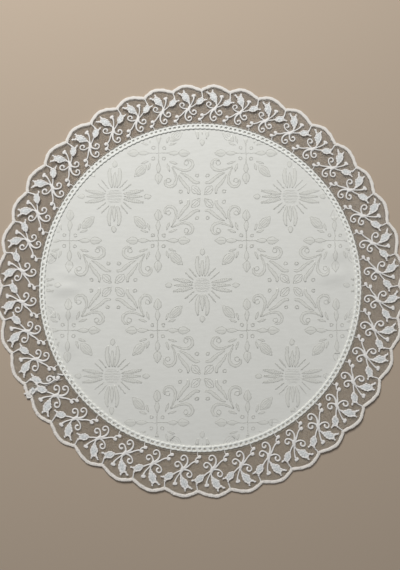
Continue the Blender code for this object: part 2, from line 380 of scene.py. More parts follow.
# How much of the damask's tone comes from its threads, and how its clouds are drawn out along the weft
THREADS_SHOW = 0.16
CLOUDS = (70.0, 260.0, 70.0)


def fitted(nodes, kind, **values):
    """A new node of this kind with its inputs set, an underscore standing for a space in their names."""
    node = nodes.new("ShaderNode" + kind)
    for name, value in values.items():
        node.inputs[name.replace("_", " ")].default_value = value
    return node


def new_finish(name, colour, roughness, sheen, specular):
    """A cloth finish: its material, nodes and links, its shader, and the place on the piece."""
    material = bpy.data.materials.new(name)
    material.use_nodes = True
    material.diffuse_color = (*colour, 1)
    nodes, links = material.node_tree.nodes, material.node_tree.links
    shader = nodes["Principled BSDF"]
    shader.inputs["Roughness"].default_value = roughness
    shader.inputs["Sheen Weight"].default_value = sheen
    shader.inputs["Sheen Roughness"].default_value = SHEEN_ROUGHNESS
    shader.inputs["Specular IOR Level"].default_value = specular
    return material, nodes, links, shader, fitted(nodes, "TexCoord").outputs["Object"]


def two_tones(nodes, shade, colour, turning):
    """A ramp that turns from the shade to the colour between two values."""
    tones = fitted(nodes, "ValToRGB")
    for element, at, tone in zip(tones.color_ramp.elements, turning, (shade, colour)):
        element.position = at
        element.color = (*tone, 1)
    return tones


def roughen(nodes, links, shader, height, strength, depth):
    """Gives the finish a fine relief."""
    relief = fitted(nodes, "Bump", Strength=strength, Distance=depth)
    links.new(height, relief.inputs["Height"])
    links.new(relief.outputs["Normal"], shader.inputs["Normal"])


def thread_finish(name, colour, shade, roughness, sheen, grain, bump, painted_shading_at_foot=None):
    """Spun cotton or rayon: two close tones in fine flecks, with painted shading towards the cloth's foot
    where asked: the colour is multiplied by a factor more and more from the top of the cloth to its foot.
    """
    material, nodes, links, shader, place = new_finish(name, colour, roughness, sheen, THREAD_SPECULAR)
    fleck = fitted(nodes, "TexNoise", Scale=grain, Detail=3.0)
    links.new(place, fleck.inputs["Vector"])
    tones = two_tones(nodes, shade, colour, THREAD_TONES)
    links.new(fleck.outputs["Fac"], tones.inputs["Fac"])
    tone = tones.outputs["Color"]
    if painted_shading_at_foot:
        # Painted shading: a colour factor mixed in from the top of the cloth to its foot, standing in for how
        # the light falls there
        apart = fitted(nodes, "SeparateXYZ")
        links.new(place, apart.inputs["Vector"])
        toward_foot = fitted(nodes, "MapRange", From_Min=CLOTH_REACH, From_Max=-CLOTH_REACH)
        links.new(apart.outputs["Y"], toward_foot.inputs["Value"])
        painted_shading = fitted(nodes, "Mix")
        painted_shading.data_type = "RGBA"
        painted_shading.blend_type = "MULTIPLY"
        painted_shading.inputs[MIX_SECOND].default_value = (*painted_shading_at_foot, 1)
        links.new(toward_foot.outputs["Result"], painted_shading.inputs[MIX_SHARE])
        links.new(tone, painted_shading.inputs[MIX_FIRST])
        tone = painted_shading.outputs[MIX_RESULT]
    links.new(tone, shader.inputs["Base Color"])
    roughen(nodes, links, shader, fleck.outputs["Fac"], bump, THREAD_RELIEF)
    return material


def woven_finish(name, colour, shade, across, bump, roughness):
    """Damask: warp and weft a thread apart, with slow cloudy changes of tone as the cloth takes the light."""
    material, nodes, links, shader, place = new_finish(name, colour, roughness, DAMASK_SHEEN, DAMASK_SPECULAR)
    woven = fitted(nodes, "Math")
    woven.operation = "MULTIPLY"
    for number, (direction, spacing) in enumerate(zip("XY", across)):
        # The bands of a wave texture are 2 pi / (20 x its scale) apart
        scale = 2 * math.pi / (20 * spacing * MM)
        threads = fitted(nodes, "TexWave", Scale=scale, Distortion=0.6, Detail=1.0, Detail_Scale=0.3)
        threads.wave_type = "BANDS"
        threads.bands_direction = direction
        threads.wave_profile = "SIN"
        links.new(place, threads.inputs["Vector"])
        links.new(threads.outputs["Fac"], woven.inputs[number])
    drawn = fitted(nodes, "Mapping", Scale=CLOUDS)
    links.new(place, drawn.inputs["Vector"])
    cloud = fitted(nodes, "TexNoise", Scale=1.0, Detail=5.0, Roughness=0.7)
    links.new(drawn.outputs["Vector"], cloud.inputs["Vector"])
    mixed = fitted(nodes, "Math")
    mixed.operation = "MULTIPLY_ADD"
    mixed.inputs[1].default_value = THREADS_SHOW
    links.new(woven.outputs["Value"], mixed.inputs[0])
    links.new(cloud.outputs["Fac"], mixed.inputs[2])
    tones = two_tones(nodes, shade, colour, DAMASK_TONES)
    links.new(mixed.outputs["Value"], tones.inputs["Fac"])
    links.new(tones.outputs["Color"], shader.inputs["Base Color"])
    roughen(nodes, links, shader, woven.outputs["Value"], bump, DAMASK_RELIEF)
    return material


GROUND = woven_finish(
    "damask_ground", colour=(0.84, 0.835, 0.78), shade=(0.785, 0.78, 0.725), across=(0.42, 0.36), bump=0.35,
    roughness=0.8,
)
FIGURE = woven_finish(
    "damask_figure", colour=(0.66, 0.655, 0.60), shade=(0.60, 0.595, 0.545), across=(0.30, 0.9), bump=0.45,
    roughness=0.7,
)
FIGURE_FILL = woven_finish(
    "damask_fill", colour=(0.80, 0.795, 0.735), shade=(0.75, 0.745, 0.685), across=(0.30, 0.9), bump=0.45,
    roughness=0.75,
)
# Painted light: the outlines' colour is made lighter towards the cloth's foot, to offset the lamp giving less
# light there
OUTLINE = thread_finish(
    "satin_outline", colour=(0.90, 0.876, 0.838), shade=(0.82, 0.796, 0.753), roughness=0.55, sheen=0.2,
    grain=2600.0, bump=0.4, painted_shading_at_foot=(1.09, 1.09, 1.09),
)
FILL = thread_finish(
    "satin_fill", colour=(0.93, 0.94, 0.915), shade=(0.56, 0.575, 0.56), roughness=0.6, sheen=0.15,
    grain=850.0, bump=0.9,
)
# Painted shade: the net's colour is made darker and warmer towards the cloth's foot, where less light falls
# and the table beneath shows darker
TULLE = thread_finish(
    "tulle_thread", colour=(0.87, 0.855, 0.82), shade=(0.81, 0.795, 0.76), roughness=0.6, sheen=0.1,
    grain=3000.0, bump=0.3, painted_shading_at_foot=(0.74, 0.69, 0.61),
)
# Painted light: the rim's colour is made lighter towards the cloth's foot, to offset the lamp giving less
# light there
RIM = thread_finish(
    "rim_cord", colour=(0.87, 0.83, 0.77), shade=(0.79, 0.75, 0.69), roughness=0.7, sheen=0.25,
    grain=2200.0, bump=0.5, painted_shading_at_foot=(1.10, 1.09, 1.08),
)
# Painted light: the braid's colour is made lighter towards the cloth's foot, to offset the lamp giving less
# light there
BRAID = thread_finish(
    "braid_cotton", colour=(0.91, 0.91, 0.855), shade=(0.85, 0.85, 0.795), roughness=0.7, sheen=0.25,
    grain=2000.0, bump=0.5, painted_shading_at_foot=(1.08, 1.08, 1.07),
)

# The panel: the height of its top, its thickness, and its edge under the braid
PANEL_TOP = 1.12
PANEL_THICK = 0.9
PANEL_EDGE = PANEL_REACH + 2.0
# Its mesh: steps round, and rings that stand closer from the puckers outward
PANEL_ROUND = 216
CLOSE_FROM = 128
WIDE_RING = 6.0
CLOSE_RING = 2.6
# Its slow waves: height, length over 2 pi, how far they stray sideways, and over what length
WAVES = (
    (0.10, 23.0, 0.9, 41.0),
    (0.08, 31.0, 1.3, 57.0),
)
WAVES_END = 186.0
WAVES_FADE = 40.0
# In metres, how close corners are merged, and at what angle its faces still look smooth
MERGED = 0.00001
SMOOTH_ANGLE = math.radians(40)


def panel_wave(x, y):
    """Slow, shallow unevenness of the panel, fading towards its seam, in mm."""
    wave = 0
    for (high, length, stray, stray_length), way, side in zip(WAVES, (x, y), (y, x)):
        wave = wave + high * np.sin(way / length + stray * np.sin(side / stray_length))
    return wave * np.clip((WAVES_END - np.hypot(x, y)) / WAVES_FADE, 0, 1)


def make_damask():
    """The centre panel: a line of places spun into a disc, laid on its puckers and given its thickness."""
    wide, close = np.arange(0, CLOSE_FROM, WIDE_RING), np.arange(CLOSE_FROM, PANEL_EDGE, CLOSE_RING)
    rings = np.concatenate([wide, close, [PANEL_EDGE]])
    mesh = bpy.data.meshes.new("damask_cloth")
    mesh.from_pydata([(r * MM, 0, 0) for r in rings], [(i, i + 1) for i in range(len(rings) - 1)], [])
    panel = bpy.data.objects.new("damask_cloth", mesh)
    bpy.context.scene.collection.objects.link(panel)
    bpy.ops.object.select_all(action="DESELECT")
    bpy.context.view_layer.objects.active = panel
    panel.select_set(True)
    bpy.ops.object.mode_set(mode="EDIT")
    bpy.ops.mesh.select_all(action="SELECT")
    bpy.ops.mesh.spin(steps=PANEL_ROUND, angle=2 * math.pi, center=(0, 0, 0), axis=(0, 0, 1))
    bpy.ops.mesh.select_all(action="SELECT")
    bpy.ops.mesh.remove_doubles(threshold=MERGED)
    bpy.ops.mesh.normals_make_consistent(inside=False)
    bpy.ops.object.mode_set(mode="OBJECT")
    places = np.empty(len(panel.data.vertices) * 3)
    panel.data.vertices.foreach_get("co", places)
    places = places.reshape(-1, 3) / MM
    angle, reach = polar(places)
    plan = in_plan(angle, reach * stretch(angle), np.zeros(len(reach)))
    panel.data.vertices.foreach_set("co", (on_panel(plan) * MM).ravel())
    if panel.data.polygons[0].normal.z < 0:
        panel.data.flip_normals()
    thickness = panel.modifiers.new("Thickness", "SOLIDIFY")
    thickness.thickness = PANEL_THICK * MM
    thickness.offset = -1
    bpy.ops.object.modifier_apply(modifier=thickness.name)
    bpy.ops.object.shade_smooth_by_angle(angle=SMOOTH_ANGLE)
    panel.data.materials.clear()
    panel.data.materials.append(GROUND)
    panel.select_set(False)
    return panel


# The damask's repeat: daisies and scroll stars in turn at a square grid's corners, crosses in the squares
MIDDLE_DAISY = np.array([2.45, -1.45])
GRID = np.array([108.3, 109.6])
# How far a figure reaches from its middle, and how far out figures show on the panel
FIGURE_REACH = 65
FIGURE_LIMIT = 190.0
# From here to the seam the floats grow thinner, by this share in the end
FAINT_FROM = 145.0
FAINTER = 0.45
# The floats: half width of a common line and a vein, heights over and under the panel's top, and unevenness
LINE_HALF = 0.62
VEIN_HALF = 0.5
FIGURE_HIGH = 0.14
FIGURE_ROOT = 0.07
FILL_HIGH = 0.075
FLOAT_WANDER = 0.24
FLOAT_THINNEST = 0.6
FLOAT_FULLEST = 1.4
FLOAT_TIP = 0.35
FLOAT_OVER = 1.5
SHORTEST_RUN = 3
# How far apart the places are on lines and on sides
LINE_STEP = 1.3
SIDE_STEP = 1.5
QUARTERS = (0, 90, 180, 270)


class Figure:
    """A woven figure about its middle: the sides of its fills, and its lines with their half widths."""

    def __init__(self):
        self.fills, self.lines = [], []

    def line(self, *points, half=LINE_HALF):
        self.lines.append((smooth_line(points, LINE_STEP), half))

    def sides(self, left, right, edge=LINE_HALF, filled=True):
        """A part between two sides, filled or not, edged with lines unless the edge is 0."""
        if filled:
            self.fills.append((left, right))
        if edge:
            self.lines += [(even_steps(side, SIDE_STEP), edge) for side in (left, right)]

    def band(self, points, halves, edge=LINE_HALF):
        """A filled band along a line, as wide as its halves say from end to end."""
        line = smooth_line(points, LINE_STEP)
        half = np.interp(shares(line), np.linspace(0, 1, len(halves)), halves)[:, None]
        left = left_of(headings(line)) * half
        self.sides(line + left, line - left, edge)

    def leaf(self, start, end, half, fullest=0.5, veins=(), edge=LINE_HALF, filled=True):
        """A leaf between its ends, with veins so far to either side of its middle."""
        start, end = np.array(start, float), np.array(end, float)
        across = np.array([-(end - start)[1], (end - start)[0]]) / np.linalg.norm(end - start)
        share = np.linspace(0, 1, CURVE_PLACES)
        swell = np.sin(np.pi * share ** (math.log(0.5) / math.log(fullest))) * half
        middle = start + (end - start) * share[:, None]
        self.sides(middle + across * swell[:, None], middle - across * swell[:, None], edge, filled)
        for side in veins:
            vein = middle + across * (swell * side)[:, None]
            self.lines.append((even_steps(vein[2:-2], SIDE_STEP), VEIN_HALF))

    def ring(self, centre, radius, half=0.95):
        angles = np.linspace(0, 2 * np.pi, CURVE_PLACES)
        self.lines.append((np.array(centre) + radius * np.stack([np.cos(angles), np.sin(angles)], 1), half))

    def add(self, other, degrees=0.0, mirror=False):
        """Adds another figure turned about the middle, and mirrored first where asked."""
        angle = math.radians(degrees)
        turn = np.array([[math.cos(angle), math.sin(angle)], [-math.sin(angle), math.cos(angle)]])
        flip = np.array([1.0, -1.0]) if mirror else np.ones(2)
        self.lines += [((line * flip) @ turn, half) for line, half in other.lines]
        for left, right in other.fills:
            sides = ((left * flip) @ turn, (right * flip) @ turn)
            self.fills.append(sides[::-1] if mirror else sides)


# A plaited petal's floats: the first and the last, how far apart, each one's slant, its foot and its half
PLAIT_FROM = 1.0
PLAIT_END = 1.5
PLAIT_PITCH = 2.5
PLAIT_LEAN = 1.8
PLAIT_FOOT = 0.3
PLAIT_HALF = 0.55
# How the petal swells: a stretch of a half turn of the sine, made blunter by a power
PLAIT_SWELL = (0.12, 0.82)
PLAIT_LAST = 0.97
BLUNT = 0.6


def plait(figure, start, end, half):
    """A petal woven in chevrons, as the weft shows it: short slanting floats on either side of its middle."""
    start, end = np.array(start, float), np.array(end, float)
    length = np.linalg.norm(end - start)
    along = (end - start) / length
    across = np.array([-along[1], along[0]])
    for place in np.arange(PLAIT_FROM, length - PLAIT_END, PLAIT_PITCH):
        share = min(PLAIT_LAST, PLAIT_SWELL[0] + PLAIT_SWELL[1] * place / length)
        wide = half * math.sin(math.pi * share) ** BLUNT
        root = start + along * place
        for side in (-1, 1):
            foot = root + across * side * PLAIT_FOOT
            tip = root + along * PLAIT_LEAN + across * side * wide
            figure.lines.append((np.array([foot, (foot + tip) / 2, tip]), PLAIT_HALF))


# The daisy's parts on one arm, each from its foot to its tip, and its ribbed eye
UPRIGHT_SIDE = ((10.8, 3.0), (16.0, 4.8), (22.0, 6.1), (28.0, 6.5), (33.0, 6.0), (36.8, 5.0))
UPRIGHT_HALVES = (0.5, 1.6, 2.1, 2.1, 1.7, 0.6)
UPRIGHT_MIDDLE = ((11.0, 0.0), (31.5, 0.0))
LYING_SIDE = ((10.8, 3.2), (36.0, 7.6))
LYING_MIDDLE = ((11.5, 0.0), (34.5, 0.0))
LYING_EDGE = 0.4
DROP = ((36.6, 0.0), (45.4, 0.0))
RAYS = (
    ((9.9, 7.2), (21.2, 16.4)),
    ((6.0, 10.6), (16.2, 21.2)),
)
EYE_RADIUS = 9.6
EYE_RIBS = np.arange(-7.6, 8.0, 1.9)
RIB_HALF = 0.3


def daisy():
    """A daisy: three petals and a drop each way, two pairs of rays between, and a ribbed eye."""
    upright, upright_middle, lying, lying_middle, drop, whole = (Figure() for _ in range(6))
    upright.band(UPRIGHT_SIDE, UPRIGHT_HALVES)
    upright_middle.leaf(*UPRIGHT_MIDDLE, 2.0, 0.48)
    lying.leaf(*LYING_SIDE, 2.3, edge=LYING_EDGE)
    plait(lying, *LYING_SIDE, 2.0)
    lying_middle.leaf(*LYING_MIDDLE, 1.8, edge=LYING_EDGE)
    plait(lying_middle, *LYING_MIDDLE, 1.5)
    drop.leaf(*DROP, 2.9, 0.45)
    for ray in RAYS:
        drop.line(*ray, half=1.0)
    for turn in QUARTERS:
        side, middle = (upright, upright_middle) if turn in (90, 270) else (lying, lying_middle)
        for part, mirror in ((side, False), (side, True), (middle, False), (drop, False)):
            whole.add(part, turn, mirror)
    for level in EYE_RIBS:
        half = math.sqrt(EYE_RADIUS**2 - level**2)
        whole.line((-half, level), (half, level), half=RIB_HALF)
    return whole


RING_RADIUS = 1.9


def star():
    """A scroll star: four ribbed leaves crossing, and a pair of rings at the end of each arm."""
    leaf, rings, whole = Figure(), Figure(), Figure()
    leaf.leaf((3.2, 0.0), (18.8, 0.0), 4.6, 0.55, veins=(-0.34, 0.34), filled=False)
    rings.ring((26.7, 6.5), RING_RADIUS)
    rings.ring((26.7, -6.5), RING_RADIUS)
    for turn in QUARTERS:
        whole.add(leaf, turn + 45)
    for turn in QUARTERS:
        whole.add(rings, turn)
    return whole


# A scroll of the cross and the long leaf beside it, about the cross's middle, with the star's way as x
SCROLL = (
    (23.2, 0.2), (28.9, 2.3), (34.8, 4.8), (39.6, 8.5), (41.9, 13.2),
    (41.4, 18.2), (38.0, 21.4), (33.9, 21.7), (30.7, 19.3), (30.2, 16.4),
)
SCROLL_HALVES = (0.35, 0.6, 0.9, 1.2, 1.5, 1.5, 1.3, 1.0, 0.5)
LONG_LEAF = ((36.0, 1.6), (42.6, 3.9), (50.0, 5.0), (56.3, 5.5), (60.0, 7.2), (62.2, 10.2))
LONG_HALVES = (0.3, 1.1, 1.7, 1.9, 1.6, 0.8)


def cross(toward_daisy):
    """A cross: four budded arms and four rings, leaves towards the daisies, scrolls towards the stars."""
    arm, daisy_side, daisy_leaf, star_side, whole = (Figure() for _ in range(5))
    arm.line((0.0, 0.0), (6.0, 0.1), (12.0, 0.0), half=0.75)
    arm.leaf((11.0, 0.0), (25.5, 0.0), 2.6, 0.55)
    arm.leaf((24.6, 0.0), (39.2, 0.0), 4.5, 0.42, veins=(0.0,))
    arm.ring((6.8, 6.5), RING_RADIUS)
    daisy_side.leaf((16.0, 1.6), (24.6, 6.1), 1.2)
    daisy_leaf.leaf((21.4, 0.0), (42.4, 0.0), 5.3, 0.46, veins=(-0.42, 0.04, 0.5))
    star_side.leaf((16.4, 1.8), (26.2, 6.7), 1.2)
    star_side.band(SCROLL, SCROLL_HALVES)
    star_side.ring((33.1, 15.6), 2.7, 0.7)
    star_side.band(LONG_LEAF, LONG_HALVES)
    for turn in QUARTERS:
        whole.add(arm, turn)
    for turn in (toward_daisy, toward_daisy + 180):
        whole.add(daisy_leaf, turn)
        for mirror in (False, True):
            whole.add(daisy_side, turn, mirror)
            whole.add(star_side, turn + 90, mirror)
    return whole


# Sections of a float and a fill: how far across and how high each corner is
FLOAT_ACROSS = np.array([-1.0, -0.55, 0.55, 1.0])
FLOAT_UP = np.array([-FIGURE_ROOT, FIGURE_HIGH, FIGURE_HIGH, -FIGURE_ROOT])
FILL_ACROSS = np.array([0.0, 0.08, 0.36, 0.64, 0.92, 1.0])
FILL_UP = np.array([-FIGURE_ROOT, FILL_HIGH, FILL_HIGH, FILL_HIGH, FILL_HIGH, -FIGURE_ROOT])


def woven_line(line, halves):
    """One float of the figure: a low strip with its half width at each place, soft at its edges."""
    across = FLOAT_ACROSS[None] * halves * tapered(len(line), FLOAT_OVER, FLOAT_TIP)[:, None]
    return sweep(line, np.stack([across, FLOAT_UP[None] * np.ones((len(line), 1))], -1))


def laid_across(left, right, across, up):
    """A sheet between two sides, with its corners so far across from the right one and so high."""
    corners = np.empty((len(left), len(across), 3))
    corners[:, :, :2] = right[:, None] + (left - right)[:, None] * across[None, :, None]
    corners[:, :, 2] = up
    return skin(corners)


def on_cloth(places):
    """Which places are on the panel, clear of the braid."""
    angle, reach = polar(places)
    return reach < FIGURE_LIMIT * stretch(angle)


def make_figures():
    """All the figures of the damask, cut where the panel ends."""
    at_corners, in_squares = (daisy(), star()), (cross(45), cross(135))
    corners = [(i, j, at_corners[(i + j) % 2]) for i in range(-2, 3) for j in range(-2, 3)]
    squares = [(i + 0.5, j + 0.5, in_squares[(i + j) % 2]) for i in range(-3, 3) for j in range(-3, 3)]
    work = Work()
    for i, j, figure in corners + squares:
        centre = MIDDLE_DAISY + GRID * (i, j)
        if np.hypot(*centre) > FIGURE_LIMIT + FIGURE_REACH:
            continue
        for line, half in figure.lines:
            places = line + centre + chance.normal(0, FLOAT_WANDER, line.shape)
            near_seam = rising(polar(places)[1], FAINT_FROM, FIGURE_LIMIT - FAINT_FROM)
            uneven = chance.uniform(FLOAT_THINNEST, FLOAT_FULLEST, len(line))
            halves = half * (uneven * (1 - FAINTER * near_seam))[:, None]
            for first, last in runs(on_cloth(places)):
                if last - first >= SHORTEST_RUN:
                    work.add(woven_line(places[first:last], halves[first:last]), 0)
        for left, right in figure.fills:
            left, right = left + centre, right + centre
            for first, last in runs(on_cloth(left) & on_cloth(right)):
                if last - first >= SHORTEST_RUN:
                    work.add(laid_across(left[first:last], right[first:last], FILL_ACROSS, FILL_UP), 1)
    return work.make("woven_figures", on_panel, [FIGURE, FIGURE_FILL])


# The net in mm: its mesh, its threads, and the least height of their feet
MESH = 1.35
THREAD_HALF = 0.085
THREAD_HIGH = 0.40
NET_HIGH = 0.86
# It is held up at the braid and, less, at the rim, and stands a little uneven between
HELD_UP = 0.42
BRAID_HOLDS = 0.35
BRAID_HOLDS_OVER = 6.0
RIM_HOLDS = 0.6
RIM_HOLDS_FROM = 38.0
RIM_HOLDS_OVER = 9.0
NET_UNEVEN = 0.10
NET_WAVE_ALONG = 4.1
NET_WAVE_OUT = 5.3
# Its threads lie along the ribbon and at 60 degrees to it either way
MESH_SLOPE = math.tan(math.radians(30))
MESH_PITCH = MESH / math.sin(math.radians(60))
# Between these places the eased foot is gathered, its threads so many times closer
GATHERED = (-1.0, 2.2)
CLOSER = 3
# Steps in which a thread is followed to the edge, and how many of them one stretch of its mesh takes in
LEVEL_STEP = 1.0
LEVEL_STRETCH = 8.0
LEVEL_WANDER = 0.05
LEVEL_WAVE = 1.7
LEANING_STEP = 0.5
LEANING_STRETCH = 24.0


def net_sag(along, out):
    """The net's height: held up by the braid and the rim, lower between the sprays."""
    at_braid = np.clip(-out / BRAID_HOLDS_OVER + BRAID_HOLDS, 0, 1)
    at_rim = rising(out, RIM_HOLDS_FROM, RIM_HOLDS_OVER) * RIM_HOLDS
    uneven = NET_UNEVEN * np.sin(along / NET_WAVE_ALONG) * np.sin(out / NET_WAVE_OUT)
    return NET_HIGH + HELD_UP * (at_braid + at_rim) + uneven


def net_thread(along, out, raised):
    """One thread of the net."""
    line = np.stack([along, out, net_sag(along, out) + raised], 1)
    section = np.broadcast_to(np.array(BLADE) * (THREAD_HALF, THREAD_HIGH), (len(line), 3, 2))
    return sweep(line, section)


def add_level_threads(work, first, last, inner, outer, raised):
    """The threads that run along the ribbon, each as far as it is inside the edge."""
    steps = np.arange(first, last + 0.01, LEVEL_STEP)
    level = inner + 0.5 * MESH
    while level < RIM_TOP:
        for a, b in runs(outer(steps) > level):
            if b - a >= 2:
                along = np.linspace(steps[a], steps[b - 1], max(2, int((b - a) / LEVEL_STRETCH) + 1))
                out = np.full(len(along), level) + LEVEL_WANDER * np.sin(along * LEVEL_WAVE)
                work.add(net_thread(along, out, raised))
        gathered = GATHERED[0] <= level <= GATHERED[1]
        level += MESH / CLOSER if gathered else MESH


def add_leaning_threads(work, first, last, inner, outer, raised, shift):
    """The two families of threads that cross the ribbon aslant."""
    steps = np.arange(inner, RIM_TOP + LEANING_STEP, LEANING_STEP)
    spread = MESH_SLOPE * (RIM_TOP - inner)
    for lean in (-MESH_SLOPE, MESH_SLOPE):
        start = first - spread
        while start < last + spread:
            along = start + shift + lean * (steps - inner)
            inside = (outer(np.clip(along, first, last)) > steps) & (along >= first) & (along <= last)
            for a, b in runs(inside):
                if b - a >= 3:
                    out = np.linspace(steps[a], steps[b - 1], max(2, int((b - a) / LEANING_STRETCH) + 2))
                    work.add(net_thread(start + shift + lean * (out - inner), out, raised))
            start += MESH_PITCH


def add_net(work, first, last, inner, outer, raised=0.0, shift=0.0):
    """Three families of threads that cross in small six-sided meshes, from a foot out to an edge."""
    add_level_threads(work, first, last, inner, outer, raised)
    add_leaning_threads(work, first, last, inner, outer, raised, shift)


def make_net():
    """The ribbon's net, all the way round."""
    work = Work()
    add_net(work, 0.0, RIBBON_LENGTH, NET_FOOT, rim_out)
    return work.make("tulle_net", round_ribbon, [TULLE], smooth=False)


# The spray on the straight ribbon: the knot that its stems leave from, and the height that it starts at
KNOT = (18.3, 21.0)
LOW = 1.25
# The petals' tips stand off the net: least, how much more where most, which way that is, from how far out
LEAST_CURL = 0.6
MORE_CURL = 0.7
MOST_CURLED = math.radians(45)
CURL_FROM = 7.0
CURL_OVER = 7.0
# A tip that stands up draws in by this share of its height
CURL_IN = 0.45
# Stems and scrolls: the line's places, its half widths from root to tip, its height
STEM_LOW = LOW - 0.05
STEMS = (
    (((17.5, 17.2), (18.2, 19.3), (19.2, 21.4), (20.3, 23.6)), (1.7, 2.3, 2.2, 1.4), 1.15),
    (((19.4, 22.4), (19.9, 24.4), (19.8, 26.4), (19.6, 28.8)), (1.4, 1.05, 0.85, 0.9), 1.0),
    (
        ((20.0, 22.8), (22.1, 26.4), (24.1, 30.0), (25.4, 33.4), (25.6, 36.0)),
        (1.1, 0.75, 0.75, 0.85, 1.4), 0.95,
    ),
    (((19.6, 21.4), (22.4, 22.6), (25.2, 24.2), (27.4, 25.8), (28.8, 27.0)), (1.2, 0.8, 0.75, 0.9), 0.95),
    (
        ((16.8, 19.6), (14.2, 18.0), (11.7, 16.3), (9.2, 14.1), (6.7, 12.3), (4.2, 11.1), (2.2, 10.9)),
        (1.05, 1.1, 0.95, 0.8, 0.85, 1.0), 0.9,
    ),
    (((2.4, 10.6), (2.4, 9.0), (1.4, 7.4), (-0.6, 6.2)), (1.0, 0.85, 1.0), 0.9),
    (((-0.9, 4.6), (-0.2, 3.2), (0.0, 1.4), (0.0, -0.8)), (0.7, 0.5, 0.5), 0.5),
    (((0.1, 43.6), (0.4, 41.0), (1.0, 38.0), (1.3, 35.2)), (0.85, 0.65, 0.7, 1.0), 0.8),
    (
        (
            (16.8, 20.4), (14.6, 20.4), (12.3, 20.7), (10.0, 21.5), (7.9, 23.1), (6.7, 25.5),
            (7.4, 27.7), (9.4, 28.7), (11.5, 28.0), (12.4, 26.1), (11.5, 24.6), (10.5, 24.8),
        ),
        (1.0, 0.85, 0.85, 0.8, 0.85, 0.9, 1.0, 1.3), 0.95,
    ),
    (
        (
            (18.3, 19.0), (19.0, 16.8), (20.1, 14.9), (21.9, 13.1), (24.4, 12.0), (27.0, 12.8),
            (28.2, 14.9), (27.2, 17.0), (25.0, 17.7), (23.8, 16.6), (24.3, 15.8),
        ),
        (1.3, 1.05, 0.9, 0.85, 0.9, 1.0, 1.35), 0.95,
    ),
    (
        (
            (16.8, 18.6), (15.1, 16.6), (13.4, 13.9), (12.5, 10.8), (12.8, 8.0), (14.2, 5.7), (16.4, 4.4),
            (18.8, 4.4), (20.7, 5.8), (21.3, 7.8), (20.2, 9.5), (18.4, 9.6), (17.2, 8.6), (17.8, 7.8),
        ),
        (1.5, 1.35, 1.15, 1.05, 0.9, 0.85, 0.85, 0.95, 1.3), 0.95,
    ),
)
# Dots: centre, half length along the ribbon, half length across it
DOTS = (
    ((25.5, 37.4), 2.5, 1.95),
    ((0.6, 11.2), 2.1, 2.1),
    ((-2.5, 5.7), 2.3, 2.1),
)
# Petals: the left and the right side of the fill, from the foot up
TULIP_LEFT = (
    (19.4, 27.8), (17.8, 29.3), (15.2, 31.1), (12.8, 32.5),
    (11.8, 33.5), (11.6, 35.4), (11.1, 38.0), (11.3, 40.3),
)
TULIP_RIGHT = (
    (19.7, 27.8), (19.6, 30.4), (19.3, 34.6), (18.5, 37.4), (17.2, 39.3), (15.6, 40.5), (14.3, 41.6),
)
BUD_LEFT = ((28.7, 26.5), (29.4, 28.4), (29.9, 30.4), (31.2, 32.2), (33.4, 33.3), (35.4, 34.1), (36.8, 34.4))
BUD_RIGHT = (
    (29.1, 26.3), (31.3, 25.95), (33.7, 26.3), (35.5, 27.3), (36.8, 28.9), (37.8, 30.6), (38.1, 31.9),
)
# Corded outlines of the petals: places and half widths. They follow the fill's sides and run on past its tip.
TULIP_EDGES = (
    (
        ((19.5, 27.2), *TULIP_LEFT[1:7], (8.6, 40.6), (6.1, 42.3)),
        (0.9, 0.8, 0.75, 0.75, 0.75, 0.8, 1.05, 1.15, 1.0),
    ),
    (
        ((19.7, 27.2), *TULIP_RIGHT[1:6], (14.3, 41.8), (13.8, 43.4), (13.6, 45.2)),
        (0.9, 0.8, 0.8, 0.8, 0.85, 0.9, 1.05, 1.0, 0.8),
    ),
    (((10.0, 39.4), (11.3, 40.3), (12.5, 41.0), (13.4, 42.4)), (0.8, 0.8, 0.85, 0.9)),
)
BUD_EDGES = (
    (
        ((28.6, 26.2), *BUD_LEFT[1:6], (36.6, 35.2), (37.0, 36.8)),
        (0.8, 0.75, 0.75, 0.75, 0.75, 0.85, 1.0, 0.8),
    ),
    (
        ((28.8, 26.2), *BUD_RIGHT[1:5], (37.9, 30.6), (39.6, 31.5), (41.2, 31.9), (42.9, 32.0)),
        (0.8, 0.75, 0.75, 0.8, 0.85, 0.95, 1.0, 1.0, 0.9),
    ),
    (((36.9, 34.8), (37.4, 33.4), (38.5, 32.2)), (0.8, 0.85, 0.9)),
)
# The petals' fill: its pitch, its crown and how that falls to the sides and at the dips, and its corners
FILL_STITCH = 0.9
FILL_SIDE_STEP = 0.3
FILL_CROWN = 0.70
CROWN_FALL = 1.4
FILL_DIP = 0.80
PETAL_ACROSS = np.array([0.0, 0.15, 0.32, 0.5, 0.68, 0.85, 1.0])
OUTLINE_HIGH = 0.84
OUTLINE_UNEVEN = 0.32
# An uneven outline starts its swell so much further on than the one before it, from these in three sprays
NEXT_START = 2.3
SPRAY_STARTS = (0.0, 1.4, 2.9)
# A dot's stitches: their pitch, slant and height, how the row leans, and how blunt its two ends are
DOT_STITCH = 0.74
DOT_SLANT = 0.1
DOT_HIGH = 0.95
DOT_LOW = LOW - 0.1
DOT_LEAN = 0.12
DOT_CUT = 0.5
# A repeat is a little unlike its neighbours: its turn and growth, its sway about the knot, and its height
TURNED = 0.012
GROWN = 0.012
SWAYED = 0.35
SWAY_REACH = 26.0
RISEN = 0.05


